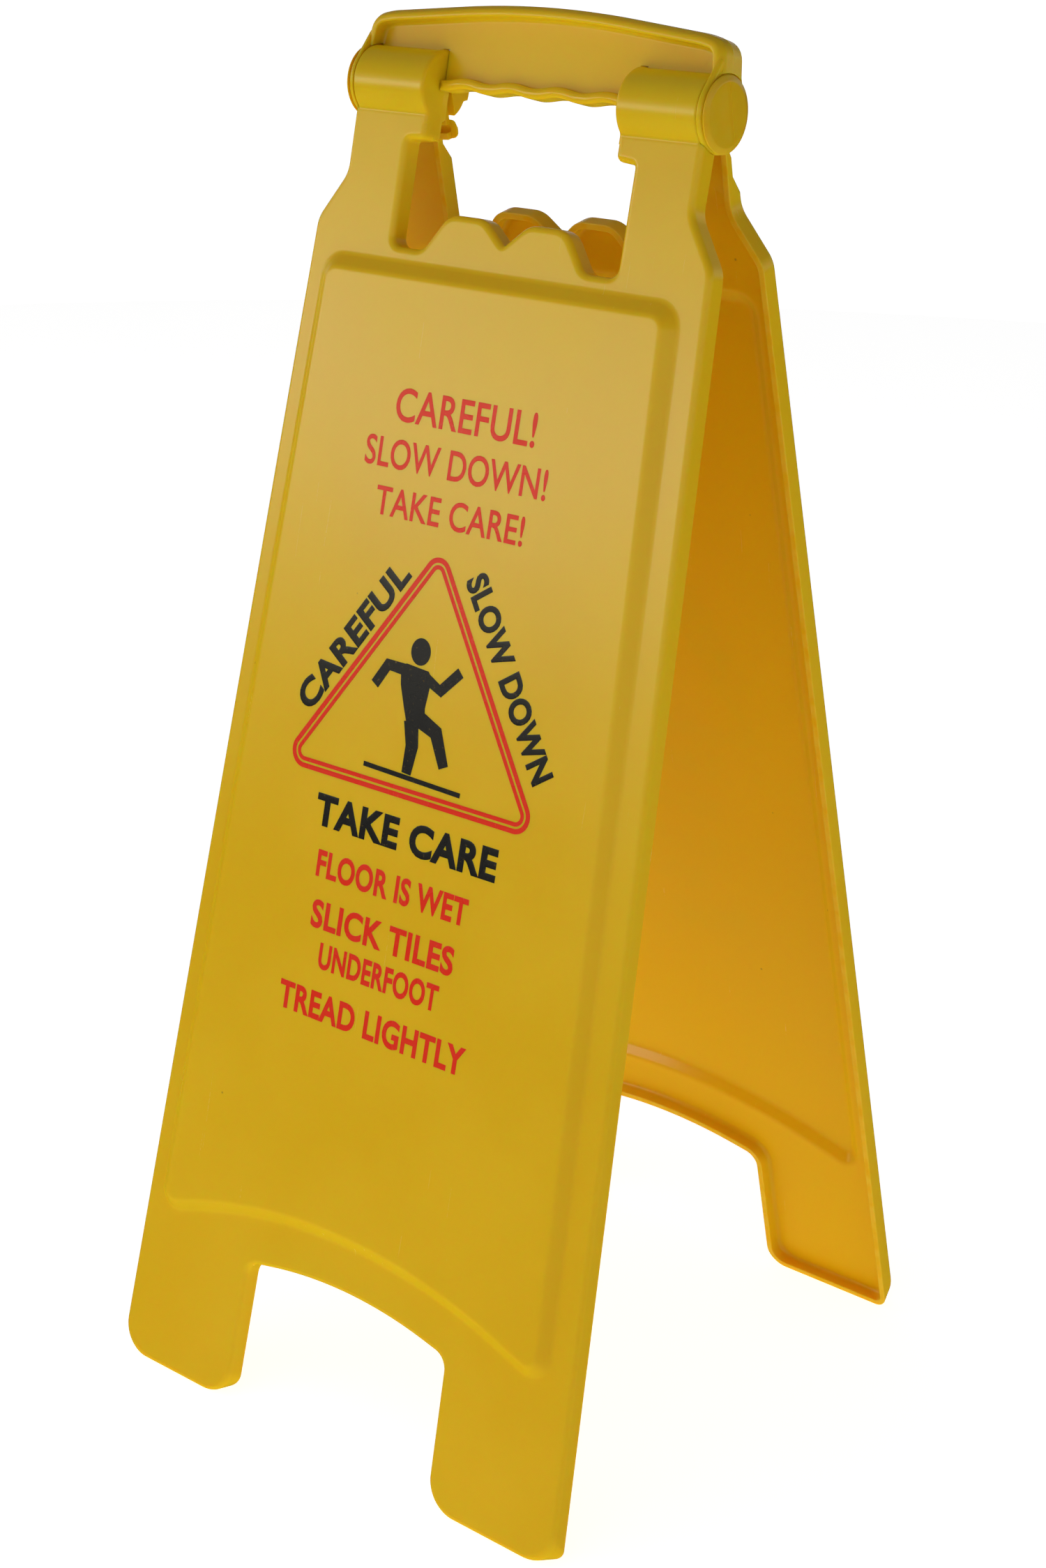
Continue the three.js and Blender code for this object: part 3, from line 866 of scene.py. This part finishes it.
def build_pin(name, at_left, material):
    """A pin through the rings of one end, with a domed head that has a small ridge on it."""
    seat = EAR[1] + PIN_GAP
    rim = PIN_HEAD_RADIUS - 0.9
    head = lathe(rounded_line([
        (0, PIN_INNER, 0),
        (PIN_RADIUS, PIN_INNER, 0.9),
        (PIN_RADIUS, seat, 0),
        (rim, seat, 0),
        (rim, seat + 0.3, 0.1),
        (PIN_HEAD_RADIUS, seat + 0.45, 0.2),
        (PIN_HEAD_RADIUS, seat + 1.0, 0.5),
        (PIN_HEAD_RADIUS - 2.6, PIN_HEAD_FACE, 3.0),
        (0, PIN_HEAD_FACE + 0.05, 0),
    ], 0.3))
    half = PIN_HEAD_RADIUS - 3.2
    mark = [(-half, 3.05), (half, 3.05), (half, 3.45), (-half, 3.45)]
    ridge = bar(mark, PIN_HEAD_FACE - 0.5, PIN_HEAD_FACE + 0.16, 0, 0.1)
    if at_left:
        head = flipped(head)
        ridge = flipped(ridge)
    pin = add_object(name + "_headed", head)
    combine(pin, ridge, "UNION")
    return settle(pin, panel_matrix(True), "back", material, [name])


# The printing: solids of unit height, which printed() lays on the panels.

# The warning triangle's corners (u, v, radius), and how bold each kind of lettering is.
TRIANGLE = [(-4.4, 193.5, 7.5), (72.5, 308.2, 8), (-81.5, 308.2, 8)]
THIN = 0.012
BOLD = 0.034
HEAVY = 0.042


def lettering(words, low_u, high_u, top_v, bottom_v, weight):
    """A line of plain lettering fitted into a box; v runs down."""
    curve = bpy.data.curves.new("words", "FONT")
    curve.body = words
    curve.bevel_depth = weight
    curve.bevel_resolution = 1
    curve.resolution_u = 5
    curve.space_character = 1 + weight * 1.6
    obj = bpy.data.objects.new("words", curve)
    bpy.context.collection.objects.link(obj)
    graph = bpy.context.evaluated_depsgraph_get()
    mesh = bpy.data.meshes.new_from_object(obj.evaluated_get(graph))
    bpy.data.objects.remove(obj)
    bpy.data.curves.remove(curve)
    bm = bmesh.new()
    bm.from_mesh(mesh)
    bpy.data.meshes.remove(mesh)
    lows = [min(vert.co[i] for vert in bm.verts) for i in range(3)]
    highs = [max(vert.co[i] for vert in bm.verts) for i in range(3)]
    for vert in bm.verts:
        across, up, out = ((vert.co[i] - lows[i]) / (highs[i] - lows[i]) for i in range(3))
        vert.co = (low_u + across * (high_u - low_u), bottom_v + up * (top_v - bottom_v), out)
    bmesh.ops.remove_doubles(bm, verts=bm.verts, dist=MERGE)
    return bm


def turned_lettering(words, start, end, height, weight):
    """A line of lettering whose baseline runs from start to end."""
    start = Vector(start)
    along = Vector(end) - start
    length = along.length
    along.normalize()
    up = Vector((along.y, -along.x))
    bm = lettering(words, 0, length, -height, 0, weight)
    for vert in bm.verts:
        flat = start + along * vert.co.x - up * vert.co.y
        vert.co = (flat.x, flat.y, vert.co.z)
    return bm


def raised(bm, height=1.0):
    """Thickens a flat mesh at z = 0 up to a height."""
    top = bmesh.ops.extrude_face_region(bm, geom=bm.faces[:])
    for item in top["geom"]:
        if isinstance(item, bmesh.types.BMVert):
            item.co.z += height
    return bm


def patch(points, height):
    """A flat shape from its outline."""
    bm = bmesh.new()
    verts = [bm.verts.new((u, v, 0)) for u, v in points]
    fill(bm, [verts], [points])
    return raised(bm, height)


def limb(points, widths, height):
    """A bent strip of changing width along points."""
    spine = [Vector(p) for p in points]
    left = []
    right = []
    for i, point in enumerate(spine):
        ahead = spine[min(i + 1, len(spine) - 1)] - spine[max(i - 1, 0)]
        across = Vector((-ahead.y, ahead.x)).normalized() * widths[i] / 2
        left.append(tuple(point + across))
        right.append(tuple(point - across))
    return patch(left + right[::-1], height)


def outline_band(corners, inset, width):
    """A band of even width that follows an outline."""
    bm = bmesh.new()
    outer = corner_ring(corners, inset, 0.8)
    inner = corner_ring(corners, inset + width, 0.8)
    loops = [[bm.verts.new((p.x, p.y, 0)) for p in ring] for ring in (outer, inner)]
    bridge(bm, *loops)
    return raised(bm)


def beside(side, along, out):
    """A point beside the warning triangle: so far down one of its sides, and so far outside it.
    Side 1 is on the right, and side 2 on the left."""
    apex = Vector(TRIANGLE[0][:2])
    base = Vector(TRIANGLE[side][:2])
    down = (base - apex).normalized()
    away = Vector((down.y, -down.x)) * (1 if side == 1 else -1)
    return apex + down * along + away * out


def figure():
    """A plain walking figure that loses its footing, above a floor line. The parts overlap, so
    each stands a hair higher than the one before."""
    turns = [k * math.pi / 20 for k in range(40)]
    head = [(5.6 * math.cos(a) - 7.5, 6.1 * math.sin(a) + 242) for a in turns]
    torso = [(-17.5, 250.2), (-14.5, 248.6), (-1.5, 249.6), (0.8, 252.5), (-0.6, 266)]
    torso += [(0.6, 274.5), (-8.6, 277.5), (-12.6, 268), (-16.2, 258.5)]
    return [
        patch(head, 1.0),
        patch(torso, 1.04),
        limb([(-3.4, 252.2), (6.6, 256.6), (16.4, 246.4)], [5.2, 5.6, 5.0], 1.08),
        limb([(-14.2, 251.6), (-25.0, 251.2), (-31.2, 261.4)], [5.4, 5.6, 5.0], 1.12),
        limb([(-7.2, 273), (-4.8, 284), (-5.8, 296.8)], [8.4, 7.2, 5.4], 1.16),
        limb([(-4.6, 270.6), (7.6, 275.2), (14.6, 289.4)], [8.0, 7.4, 5.4], 1.20),
        limb([(-31, 297.8), (26, 299.2)], [2.2, 2.2], 1.24),
    ]


def printing():
    """The printed shapes by colour: plain words, a double-lined triangle and a figure in it. Each
    line of words is given its left, right, top and bottom."""
    red = [
        lettering("CAREFUL!", -42, 37, 130, 145, THIN),
        lettering("SLOW DOWN!", -56, 47, 152.6, 166, THIN),
        lettering("TAKE CARE!", -46, 38.6, 174, 187, THIN),
        outline_band(TRIANGLE, 0, 2.3),
        outline_band(TRIANGLE, 3.3, 1.9),
        lettering("FLOOR IS WET", -50, 40, 342.4, 355.3, BOLD),
        lettering("SLICK TILES", -49, 36.6, 365.5, 379, BOLD),
        lettering("UNDERFOOT", -41, 31, 384.5, 397, BOLD),
        lettering("TREAD LIGHTLY", -61.6, 51, 407.5, 421, BOLD),
    ]
    black = figure() + [
        turned_lettering("CAREFUL", beside(2, 109, 2.2), beside(2, 22, 2.2), 12.8, HEAVY),
        turned_lettering("SLOW DOWN", beside(1, 20, 5.2), beside(1, 115, 5.2), 12.8, HEAVY),
        lettering("TAKE CARE", -55, 52, 316.8, 332, HEAVY),
    ]
    return {"red": red, "black": black}


def printed(name, shapes, back, body, material):
    """Lays copies of the printed shapes on the raised field of a panel."""
    face = FACE_OUT + FIELD_RISE
    low = face - INK_ROOT
    high = face + INK_LIFT
    whole = bmesh.new()
    for bm in shapes:
        mesh = bpy.data.meshes.new("shape")
        bm.to_mesh(mesh)
        whole.from_mesh(mesh)
        bpy.data.meshes.remove(mesh)
    for vert in whole.verts:
        vert.co.z = low + (high - low) * vert.co.z
    return settle(add_object(name, whole), panel_matrix(back), body, material)


# Camera, light and floor.

def add_camera():
    """A camera at the photograph's viewpoint."""
    azimuth, elevation, roll = (math.radians(angle) for angle in CAMERA_ANGLES)
    back = Vector((
        math.sin(azimuth) * math.cos(elevation),
        -math.cos(azimuth) * math.cos(elevation),
        math.sin(elevation),
    ))
    right = Vector((0, 0, 1)).cross(back).normalized()
    up = back.cross(right)
    turned_right = right * math.cos(roll) + up * math.sin(roll)
    turned_up = up * math.cos(roll) - right * math.sin(roll)
    data = bpy.data.cameras.new("camera")
    data.lens = CAMERA_LENS
    data.shift_x = CAMERA_SHIFT
    data.clip_start = 0.01
    camera = bpy.data.objects.new("camera", data)
    bpy.context.collection.objects.link(camera)
    place = Matrix((turned_right, turned_up, back)).transposed().to_4x4()
    place.translation = Vector(CAMERA_PLACE) * MM
    camera.matrix_world = place
    bpy.context.scene.camera = camera


def add_softbox(name, place, aim, size, power, color=WHITE):
    """A rectangular light at a place, turned to a point on the sign's axis at the height aim."""
    data = bpy.data.lights.new(name, "AREA")
    data.shape = "RECTANGLE"
    data.size, data.size_y = size
    data.energy = power
    data.color = color
    light = bpy.data.objects.new(name, data)
    bpy.context.collection.objects.link(light)
    direction = Vector((0, 0, aim)) - Vector(place)
    light.rotation_euler = direction.to_track_quat("-Z", "Y").to_euler()
    light.location = place
    return light


def add_lights():
    """A broad warm softbox on the left, which shows in the gloss, and two that only fill."""
    add_softbox("softbox", (-1.75, -2.0, 0.80), 0.55, (2.2, 0.5), 8.5, KEY_LIGHT)
    overhead = add_softbox("overhead", (-0.5, -0.8, 2.5), 0.5, (2.4, 2.4), 8.0)
    fill_in = add_softbox("fill", (2.6, -0.5, 0.9), 0.5, (1.6, 1.6), 4.0)
    for light in (overhead, fill_in):
        light.visible_glossy = False


def pale(name, glow):
    """Matt and pale, with a glow of its own."""
    nodes = Nodes(bpy.data.materials.new(name))
    nodes.fix(Base_Color=(*PALE, 1), Roughness=1.0, Specular_IOR_Level=0.0,
              Emission_Color=(*WHITE, 1), Emission_Strength=glow)
    return nodes.owner


def add_surround(name, line, glow, closed=False):
    """A round pale surface, turned about the upright axis from (radius, height) points in metres.
    A closed one has a disc in its middle."""
    bm = bmesh.new()
    loops = spin(bm, line, slab_place)
    if closed:
        bm.faces.new(list(reversed(loops[0])))
    for face in bm.faces:
        face.smooth = True
    surround = add_object(name, bm)
    surround.visible_glossy = False
    surround.visible_shadow = False
    surround.data.materials.append(pale(name, glow))
    return surround


def add_floor():
    """A pale floor that bounces light up to the sign, and a pale wall far behind it that takes
    no part in the light."""
    level = -0.0003
    edge = 3
    far = 9
    add_surround("floor", [(0.4, level), (edge, level)], FLOOR_GLOW, closed=True)
    line = rounded_line([(edge, level, 0), (far, 0, 2.5), (far, 7, 0)], 0.3)
    wall = add_surround("wall", line, WALL_GLOW)
    wall.visible_diffuse = False


def add_world():
    """Studio light from all round: strongest just above the horizon, a little stronger on the
    front left, and dark overhead and below."""
    world = bpy.data.worlds.new("studio")
    nodes = Nodes(world, "Background")
    coordinates = nodes.add("ShaderNodeTexCoord").outputs["Generated"]
    up = (0, 0, 1)
    front_left = (-0.64, -0.75, 0.12)

    def graded(axis, low, high, out_low, out_high):
        dot = nodes.add("ShaderNodeVectorMath", operation="DOT_PRODUCT")
        dot.inputs[1].default_value = axis
        nodes.link(coordinates, dot.inputs[0])
        return nodes.ramp(dot.outputs["Value"], low, high, out_low, out_high)

    horizon = graded(up, 0.0, 0.11, 0.02, 0.72)
    overhead = graded(up, 0.14, 0.40, 1.0, 0.14)
    key_side = graded(front_left, -0.4, 0.9, 0.72, 1.12)
    strength = nodes.math("MULTIPLY", nodes.math("MULTIPLY", horizon, overhead), key_side)
    nodes.link(strength, "Strength")
    nodes.fix(Color=(*WHITE, 1))
    bpy.context.scene.world = world


def main():
    panel_plastic = plastic("yellow moulded plastic", YELLOW)
    handle_plastic = plastic("handle moulded plastic", YELLOW, 0.4)
    pin_plastic = plastic("pin moulded plastic", WARM_YELLOW, 0.3)
    build_panel("front_shell", "front", False, panel_plastic)
    build_panel("back_shell", "back", True, panel_plastic)
    build_handle(handle_plastic)
    build_pin("hinge_pin_left", True, pin_plastic)
    build_pin("hinge_pin_right", False, pin_plastic)
    inks = {colour: ink(f"{colour} ink", value) for colour, value in INKS.items()}
    shapes = printing()
    for body, back in (("front", False), ("back", True)):
        for colour, parts in shapes.items():
            printed(f"{body}_print_{colour}", parts, back, body, inks[colour])
    add_camera()
    add_world()
    add_floor()
    add_lights()
    bpy.context.scene.view_settings.view_transform = "Standard"


main()
